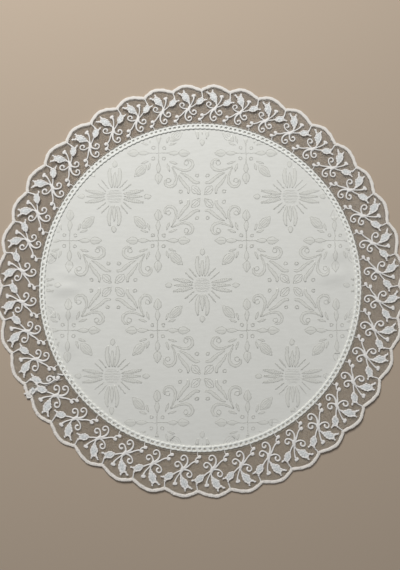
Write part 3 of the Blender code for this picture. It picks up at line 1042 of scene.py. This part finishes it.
def petal_fill(left_side, right_side):
    """The fill of a petal: stitches laid from side to side over a low crown."""
    left, right = smooth_line(left_side, FILL_SIDE_STEP), smooth_line(right_side, FILL_SIDE_STEP)
    count = int(round(max(length_of(left), length_of(right)) / (FILL_STITCH / 2)))
    bow = 1 - CROWN_FALL * (PETAL_ACROSS - 0.5) ** 2
    crown = FILL_CROWN * bow[None] * plied(count, FILL_DIP)[:, None]
    crown[:, 0] = crown[:, -1] = 0.0
    return laid_across(evenly(left, count), evenly(right, count), PETAL_ACROSS, LOW + crown)


def dot(centre, wide, tall, height=DOT_HIGH, low=DOT_LOW):
    """A full dot of parallel stitches laid across the ribbon, its ends blunt."""
    points = [(centre[0] + t * wide, centre[1] + t * wide * DOT_LEAN) for t in np.linspace(-1, 1, 5)]
    halves = np.sin(np.linspace(DOT_CUT, math.pi - DOT_CUT, 9)) ** BLUNT * tall
    return stitched(points, halves, low, height, stitch=DOT_STITCH, slant=DOT_SLANT)


def petals(bud=True, tulip=True, start=0.0):
    """The petals of one spray on the straight ribbon, each part with its finish: 0 outline, 1 fill.

    The outlines are uneven, each from another start, so another first start gives unlike petals.
    """
    shapes = []
    for wanted, left, right, edges in (
        (tulip, TULIP_LEFT, TULIP_RIGHT, TULIP_EDGES),
        (bud, BUD_LEFT, BUD_RIGHT, BUD_EDGES),
    ):
        if wanted:
            shapes.append((petal_fill(left, right), 1))
            for line, widths in edges:
                outline = stitched(line, widths, LOW, OUTLINE_HIGH, uneven=OUTLINE_UNEVEN, start=start)
                shapes.append((outline, 0))
                start += NEXT_START
    return shapes


def copied(shapes, along):
    """A spray's shapes, set down so far along the ribbon, each copy a little unlike the last."""
    # Six draws, though the last isn't used, because the draws that follow depend on it
    swing = chance.normal(0, 1, 6)
    turn = TURNED * swing[0]
    grown = 1 + GROWN * swing[1]
    copies = []
    for (corners, quads, fans), finish in shapes:
        moved = corners.copy()
        x, y = moved[:, 0] - KNOT[0], moved[:, 1] - KNOT[1]
        held = np.clip(1 - np.hypot(x, y) / SWAY_REACH, 0, 1)
        moved[:, 0] = KNOT[0] + grown * (x - turn * y) + along + SWAYED * swing[2] * held
        moved[:, 1] = KNOT[1] + grown * (y + turn * x) + SWAYED * swing[3] * held
        moved[:, 2] += RISEN * swing[4]
        copies.append(((moved, quads, fans), finish))
    return copies


def make_sprays():
    """The stitching on the ribbon: curling petals in one piece, stems, scrolls and dots in another.

    A spray's stems are given the same draws as its petals, so that the two stay together.
    """
    petal_shapes = [petals(start=start) for start in SPRAY_STARTS]
    stem_shapes = [(stitched(points, widths, STEM_LOW, height), 0) for points, widths, height in STEMS]
    stem_shapes += [(dot(centre, wide, tall), 0) for centre, wide, tall in DOTS]
    petal_work, stem_work = Work(), Work()
    for number in range(SCALLOPS):
        along = number * REPEAT
        state = chance.bit_generator.state
        curl = LEAST_CURL + MORE_CURL * max(0.0, math.sin(LAP_ANGLE - number * REPEAT_ANGLE - MOST_CURLED))
        for (corners, quads, fans), finish in copied(petal_shapes[number % len(petal_shapes)], along):
            away = np.hypot(corners[:, 0] - along - KNOT[0], corners[:, 1] - KNOT[1])
            raised = curl * rising(away, CURL_FROM, CURL_OVER)
            corners[:, 1] -= CURL_IN * raised
            corners[:, 2] += raised
            petal_work.add((corners, quads, fans), finish)
        chance.bit_generator.state = state
        for shape, finish in copied(stem_shapes, along):
            stem_work.add(shape, finish)
    return (
        petal_work.make("stitched_petals", round_ribbon, [OUTLINE, FILL]),
        stem_work.make("stitched_stems", round_ribbon, [OUTLINE]),
    )


# The section of a full, round cord, for a half width and a height of 1
CORD = (
    (-1.0, 0.05), (-0.97, 0.62), (-0.84, 0.92), (-0.60, 1.0),
    (0.60, 1.0), (0.84, 0.92), (0.97, 0.62), (1.0, 0.05),
)
# The corded rim in mm, and the share of a scallop's depth by which wear has drawn its arch to a point
RIM_HALF = 1.85
RIM_LOW = 0.25
RIM_HIGH = 1.75
RIM_DIP_HALF = 0.92
RIM_DIP_HIGH = 0.93
RIM_SLANT = 0.3
RIM_IN = 0.1
RIM_POINT = 0.35
POINT_ROUND = 0.15
# Half a stitch of its whipping, the places along an arch, and how nearly it reaches the next one's start
HALF_STITCH = 0.38
ARCH_PLACES = 200
NEARLY = 0.99999
# Each stretch of whipping runs on past its cusp by this much and is drawn in there
PAST_CUSP = 0.9
CUSP_OVER = 3.0
CUSP_TIP = 0.45
# How uneven the whipping is, as shares of its width: stitch by stitch, in slow swells, and in quick ripples
# that are strong at the foot of the cloth, weak at its top. Ripples and a slow sway also move it in and out.
RIM_ROUGH = 0.06
RIM_SWELL = 0.08
RIM_RIPPLE = 0.09
LESS_AT_TOP = 0.06
RIPPLE_OUT = 1.2
RIM_SWAY = 0.14
# The least and the most that each of these waves goes on by from stitch to stitch, in radians
SWELL_STEPS = (0.1, 0.5)
RIPPLE_STEPS = (0.5, 1.6)
SWAY_STEPS = (0.05, 0.35)
# It is fuller in the middle of a scallop, and at the top of the cloth
FULL_MIDDLE = 0.10
FULL_AT_TOP = 0.06
# Its fuzz: how often, how far out, how long and how thick, shorter and finer at the top of the cloth
FUZZ_SHARE = 0.5
FUZZ_OUT = 1.2
FUZZ_SHORT = 0.7
FUZZ_LONG = 1.5
SHORTER_AT_TOP = 0.3
FUZZ_HALF = 0.15
FINER_AT_TOP = 0.05
# A loose point of thread at one scallop in three
LOOSE_ONE_IN = 3
LOOSE_LONG = 2.2
LOOSE_HALF = 0.16


def rim_line(along):
    """The middle of the cord as it's worn: a soft point in each scallop."""
    share = np.clip((along / REPEAT) % 1.0, 0, 1) ** SCALLOP_LEAN
    arch, point = np.sin(np.pi * share), 1 - np.hypot(2 * share - 1, POINT_ROUND)
    flatter = np.where(along < SCALLOPS * REPEAT, RIM_POINT * SCALLOP_DEPTH * (arch - point), 0)
    return rim_out(along) - RIM_IN - flatter


def wander(steps, count):
    """A wave that goes on at each place by a chance step between these two."""
    return np.sin(np.cumsum(chance.uniform(*steps, count)))


def whipping(number, upward):
    """One scallop's stretch of the corded rim: its line, its headings and its shape."""
    extent = STUB if number == SCALLOPS else 1.0
    along = (number + np.clip(np.linspace(0, extent, ARCH_PLACES), 0, extent * NEARLY)) * REPEAT
    line = even_steps(np.stack([along, rim_line(along)], 1), HALF_STITCH)
    ahead = headings(line)
    line = np.concatenate([line[:1] - ahead[:1] * PAST_CUSP, line, line[-1:] + ahead[-1:] * PAST_CUSP])
    count = len(line)
    swell = wander(SWELL_STEPS, count)
    ripple = (RIM_RIPPLE - LESS_AT_TOP * upward) * wander(RIPPLE_STEPS, count)
    rough = 1 + RIM_ROUGH * chance.normal(0, 1, count) + RIM_SWELL * swell + ripple
    fuller = FULL_MIDDLE * np.sin(np.pi * shares(line)) + FULL_AT_TOP * upward
    half = RIM_HALF * plied(count, RIM_DIP_HALF) * rough * (1 + fuller)
    line[:, 1] += RIM_SWAY * wander(SWAY_STEPS, count) + RIPPLE_OUT * ripple
    ends = tapered(count, CUSP_OVER, CUSP_TIP)
    section = formed(CORD, half * ends, RIM_LOW, RIM_HIGH * plied(count, RIM_DIP_HIGH) * ends)
    return line, ahead, sweep(line, section, RIM_SLANT)


def make_rim():
    """The corded rim, whipped over from cusp to cusp, with its fuzz and a few loose points of thread."""
    work = Work()
    for number in range(SCALLOPS + 1):
        upward = math.sin(LAP_ANGLE - number * REPEAT_ANGLE)
        line, ahead, shape = whipping(number, upward)
        work.add(shape)
        longest, half = FUZZ_LONG - SHORTER_AT_TOP * upward, FUZZ_HALF - FINER_AT_TOP * upward
        for place, heading in zip(line[2:-2:2], ahead[2:-2:2]):
            outward = np.array([-heading[1], heading[0]])
            if chance.random() < FUZZ_SHARE:
                way = outward + heading * chance.normal(0, 0.8)
                work.add(hair(place + outward * FUZZ_OUT, way, chance.uniform(FUZZ_SHORT, longest), half))
        if number % LOOSE_ONE_IN == 1:
            tip = line[len(line) // 2 + chance.integers(-6, 7)]
            way = np.array([chance.normal(0, 0.5), 1.0])
            work.add(hair(tip + (0, 1.0), way, LOOSE_LONG, LOOSE_HALF))
    return work.make("scallop_cord", round_ribbon, [RIM])


# A loose thread: the height of its foot, its common half width and that of its tip, and its own height
HAIR_LOW = 0.9
HAIR_HALF = 0.09
HAIR_TIP = 0.02
HAIR_HIGH = 1.4


def hair(foot, way, length, half=HAIR_HALF):
    """A loose end of thread: flat, pointed, and rising or falling a little from its foot."""
    way = way / np.linalg.norm(way)
    line = np.array([[*foot, HAIR_LOW + chance.uniform(-0.3, 0.6)]] * 2)
    line[1, :2] += way * length
    line[1, 2] += chance.uniform(-0.4, 0.3)
    size = np.array([half, HAIR_TIP])[:, None, None]
    return sweep(line, np.array(BLADE)[None] * size * (1.0, HAIR_HIGH))


# The braid's cords: how far out, half width, foot, height, stitch, and how far they sway from rung to rung
BRAID_CORDS = (
    (-1.2, 1.1, 1.2, 0.85, 1.15, 0.12),
    (-5.65, 1.2, 1.2, 0.95, 1.35, -0.2),
)
CORD_DIP = 0.88
CORD_SLANT = 0.55
CORD_ROUGH = 0.06
FULL_AT_RUNGS = 0.12
CORD_WANDER = 0.10
CORD_WAVE = 37.0
# Its rungs: the reach and the pitch that give their number, the size of each, and how uneven they are
RUNG_REACH = 194.6
RUNG_PITCH = 6.25
RUNGS = int(round(2 * math.pi * RUNG_REACH / RUNG_PITCH))
RUNG_HALF = 1.9
RUNG_HALVES = np.array([1.15, 0.92, 1.1])
RUNG_OUT = (-5.4, -3.5, -1.5)
RUNG_LOW = 1.25
RUNG_HIGH = 0.75
RUNG_STITCH = 0.85
RUNG_SLANT = 0.15
WIDER_AT_TOP = 0.3
RUNG_WANDER = 0.3
RUNG_UNEVEN = 0.3
RUNG_LEAN = 0.5


def braid_cord(out, half, low, height, stitch, sway):
    """One cord of the braid, plied in slanting stitches right round the panel."""
    count = int(RIBBON_LENGTH / stitch) * 2
    along = np.linspace(0, RIBBON_LENGTH, count, endpoint=False)
    phase = along / RIBBON_LENGTH * 2 * np.pi * RUNGS
    line = np.stack([along, out + sway * np.cos(phase) + CORD_WANDER * np.sin(along / CORD_WAVE)], 1)
    rough = 1 + CORD_ROUGH * chance.normal(0, 1, count) + FULL_AT_RUNGS * np.cos(phase)
    ply = plied(count, CORD_DIP)
    return sweep(line, formed(CORD, half * ply * rough, low, height * ply * rough), CORD_SLANT, closed=True)


def make_braid():
    """The ladder braid: two cords and the rungs between them, with open slots."""
    cords, rungs = Work(), Work()
    for cord in BRAID_CORDS:
        cords.add(braid_cord(*cord))
    for number in range(RUNGS):
        along = (number + 0.5) * RIBBON_LENGTH / RUNGS + chance.normal(0, RUNG_WANDER)
        wider = WIDER_AT_TOP * max(0.0, math.sin(LAP_ANGLE - 2 * math.pi * number / RUNGS))
        half = RUNG_HALF + wider + chance.normal(0, RUNG_UNEVEN)
        lean = chance.normal(0, RUNG_LEAN)
        points = list(zip((along - lean, along, along + lean), RUNG_OUT))
        halves = half * RUNG_HALVES
        rungs.add(stitched(points, halves, RUNG_LOW, RUNG_HIGH, stitch=RUNG_STITCH, slant=RUNG_SLANT))
    return (
        cords.make("braid_cords", round_ribbon, [BRAID]),
        rungs.make("braid_rungs", round_ribbon, [BRAID]),
    )


# The lap, in mm along from the ribbon's end and out: where its net starts; each layer's end, height, shift
LAP_FROM = -13.6
LAP_LAYERS = (
    (-5.2, 0.35, 0.6),
    (-7.6, 0.5, 0.2),
)
LAP_FOOT = -0.4
CUT_SPRAY = -36.2
CUT_SPRAY_UP = 0.35
LAP_LOW = LOW + 0.3
# The cut spray's stems: places, and half widths
LAP_STEMS = (
    (
        ((-7.6, 27.2), (-10.4, 24.8), (-12.6, 21.4), (-13.8, 17.4), (-13.8, 13.2), (-14.6, 9.4)),
        (0.85, 0.85, 0.9, 0.95),
    ),
    (
        (
            (-13.6, 12.2), (-11.0, 11.8), (-8.2, 12.8), (-6.3, 15.2), (-7.0, 18.2),
            (-9.6, 19.3), (-11.4, 17.8), (-10.4, 15.9), (-9.0, 16.4),
        ),
        (0.95, 0.85, 0.9, 1.0, 1.5),
    ),
    (((-15.2, 10.6), (-16.0, 8.2), (-14.8, 5.6), (-12.6, 5.9), (-12.4, 8.2)), (0.8, 0.9, 1.1)),
    (((-9.4, 5.4), (-12.0, 2.8), (-14.8, 0.2)), (0.7, 0.85, 0.8)),
    (((-13.4, 42.6), (-13.2, 39.4), (-12.2, 37.0)), (0.8, 0.5, 0.6)),
    (((-13.9, 11.6), (-11.9, 10.4), (-9.8, 9.6)), (0.8, 0.8, 0.5)),
)
LAP_STEM_HIGH = 1.0
# The raw edge of the upper end
RAW_EDGE = ((-13.0, 43.0), (-12.8, 36.0), (-13.6, 26.0), (-15.2, 17.0), (-16.0, 11.0), (-18.6, 3.6))
RAW_HALVES = (0.34, 0.34)
RAW_LOW = LOW + 0.2
RAW_HIGH = 0.45
RAW_STITCH = 1.2
# Loose patches of stitching: centre, half length along the ribbon, half length across it, height, finish
LAP_DOTS = (
    ((-9.3, 38.6), 1.9, 1.7, 1.1, 1),
    ((-11.6, 39.6), 1.7, 2.6, 0.7, 1),
    ((-9.2, 41.6), 1.3, 1.9, 1.0, 0),
    ((-11.9, 35.2), 2.1, 2.3, 0.6, 1),
    ((-10.6, 11.2), 1.4, 2.2, 0.5, 1),
    ((-10.9, 43.0), 1.5, 1.2, 1.3, 0),
    ((-13.9, 7.5), 2.0, 1.9, 1.2, 0),
)
# The whipping that holds the two ends of the rim together: stitches, their pitch, middle, reach and halves
WHIPPING = 9
WHIPPING_FROM = -14.6
WHIPPING_PITCH = 0.78
WHIPPING_OUT = 46.3
WHIPPING_REACH = (2.4, 4.2)
WHIPPING_HALVES = (0.35, 0.65, 0.4)
WHIPPING_LOW = 1.35
WHIPPING_HIGH = 1.15
# Loose threads round the whipping, with their middle and spread, and along the raw edge
RIM_HAIRS = 60
RIM_HAIRS_AT = (-11.8, 46.6)
RIM_HAIRS_SPREAD = (2.2, 1.7)
RIM_HAIR_HALF = 0.13
EDGE_HAIRS = 30
EDGE_HAIRS_AT = -13.4
EDGE_HAIRS_OUT = (16, 41)


def lap_edge(along):
    """The rim's middle over the lap, where the ribbon's last place stands for what is past its end."""
    return rim_out(np.minimum(along, RIBBON_LENGTH - 0.01))


def whip_rims(work, end):
    """The whipping stitches over the two ends of the rim."""
    for step in range(WHIPPING):
        along = end + WHIPPING_FROM + step * WHIPPING_PITCH + chance.normal(0, 0.15)
        reach = chance.uniform(*WHIPPING_REACH)
        middle = WHIPPING_OUT + 0.5 * math.sin(step)
        places = [
            (along - 0.6, middle - reach * 0.8),
            (along + chance.normal(0, 0.4), middle),
            (along + 0.5 + chance.normal(0, 0.5), middle + reach),
        ]
        high = WHIPPING_HIGH + chance.uniform(-0.2, 0.2)
        work.add(stitched(places, WHIPPING_HALVES, WHIPPING_LOW, high, DOME))


def make_lap():
    """The upper end of the ribbon over the lower: more net, its raw edge, the cut spray and the whipping."""
    end = RIBBON_LENGTH
    net, work = Work(), Work()
    for last, raised, shift in LAP_LAYERS:
        add_net(net, end + LAP_FROM, end + last, LAP_FOOT, lap_edge, raised, shift)
    for (corners, quads, fans), finish in petals(tulip=False):
        work.add((corners + (end + CUT_SPRAY, 0, CUT_SPRAY_UP), quads, fans), finish)
    for places, halves in LAP_STEMS:
        work.add(stitched([(end + along, out) for along, out in places], halves, LAP_LOW, LAP_STEM_HIGH))
    for (along, out), wide, tall, height, finish in LAP_DOTS:
        work.add(dot((end + along, out), wide, tall, height, LAP_LOW), finish)
    edge = [(end + along, out) for along, out in RAW_EDGE]
    work.add(stitched(edge, RAW_HALVES, RAW_LOW, RAW_HIGH, BLADE, RAW_STITCH))
    whip_rims(work, end)
    for _ in range(RIM_HAIRS):
        foot = np.array([end, 0.0]) + RIM_HAIRS_AT + chance.normal(0, RIM_HAIRS_SPREAD)
        work.add(hair(foot, chance.normal(0, 1, 2) + (0, 0.5), chance.uniform(1.0, 2.8), RIM_HAIR_HALF))
    for _ in range(EDGE_HAIRS):
        foot = np.array([end + EDGE_HAIRS_AT + chance.normal(0, 0.6), chance.uniform(*EDGE_HAIRS_OUT)])
        work.add(hair(foot, np.array([-1.0, chance.normal(0, 0.6)]), chance.uniform(0.5, 1.4)))
    return (
        net.make("lap_net", round_ribbon, [TULLE], smooth=False),
        work.make("lap_stitching", round_ribbon, [OUTLINE, FILL]),
    )


# Table, light and camera, in metres and watts
TABLE_SIZE = 9.0
TABLE_COLOUR = (0.50, 0.405, 0.31, 1)
WINDOW_PLACE = Vector((-0.42, 1.40, 1.25))
WINDOW_SIZE = 0.65
WINDOW_POWER = 34.0
ROOM_COLOUR = (0.93, 0.95, 1.0, 1)
ROOM_STRENGTH = 0.18
CAMERA_AIM = Vector((-0.0002, -0.0005, 0.0))
CAMERA_AWAY = 0.602
CAMERA_TILT = math.radians(4.25)
CAMERA_LENS = 31.18


def make_table():
    """A plain pale table top under the cloth."""
    bpy.ops.object.select_all(action="DESELECT")
    bpy.ops.mesh.primitive_plane_add(size=TABLE_SIZE, location=(0, 0, 0))
    table = bpy.context.object
    table.name = "table_top"
    plain = bpy.data.materials.new("table_plain")
    plain.use_nodes = True
    shader = plain.node_tree.nodes["Principled BSDF"]
    shader.inputs["Base Color"].default_value = TABLE_COLOUR
    shader.inputs["Roughness"].default_value = 0.9
    shader.inputs["Specular IOR Level"].default_value = 0.2
    table.data.materials.append(plain)


def make_light():
    """Soft light from a window beyond the cloth, and a little from the room."""
    lamp = bpy.data.lights.new("window_light", "AREA")
    lamp.shape = "SQUARE"
    lamp.size = WINDOW_SIZE
    lamp.energy = WINDOW_POWER
    light = bpy.data.objects.new("window_light", lamp)
    light.location = WINDOW_PLACE
    light.rotation_euler = (-WINDOW_PLACE).to_track_quat("-Z", "Y").to_euler()
    bpy.context.scene.collection.objects.link(light)
    world = bpy.data.worlds.new("room")
    world.use_nodes = True
    world.node_tree.nodes["Background"].inputs["Color"].default_value = ROOM_COLOUR
    world.node_tree.nodes["Background"].inputs["Strength"].default_value = ROOM_STRENGTH
    bpy.context.scene.world = world


def make_camera():
    """The camera, nearly straight above the cloth."""
    camera = bpy.data.cameras.new("camera")
    camera.lens = CAMERA_LENS
    camera.sensor_width = 36.0
    eye = bpy.data.objects.new("camera", camera)
    eye.location = CAMERA_AIM + CAMERA_AWAY * Vector((0, -math.sin(CAMERA_TILT), math.cos(CAMERA_TILT)))
    eye.rotation_euler = (CAMERA_TILT, 0, 0)
    bpy.context.scene.collection.objects.link(eye)
    bpy.context.scene.camera = eye
    bpy.context.scene.view_settings.view_transform = "Standard"


make_table()
make_light()
make_camera()
damask = make_damask()
figures = make_figures()
net = make_net()
petal_piece, stems = make_sprays()
rim = make_rim()
cords, rungs = make_braid()
lap_net, lap = make_lap()

for piece in (damask, figures, net, petal_piece, stems, rim, cords, rungs, lap_net, lap):
    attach(piece, "root")
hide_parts("damask_panel")
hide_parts("lace_edging")
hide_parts("ladder_braid")
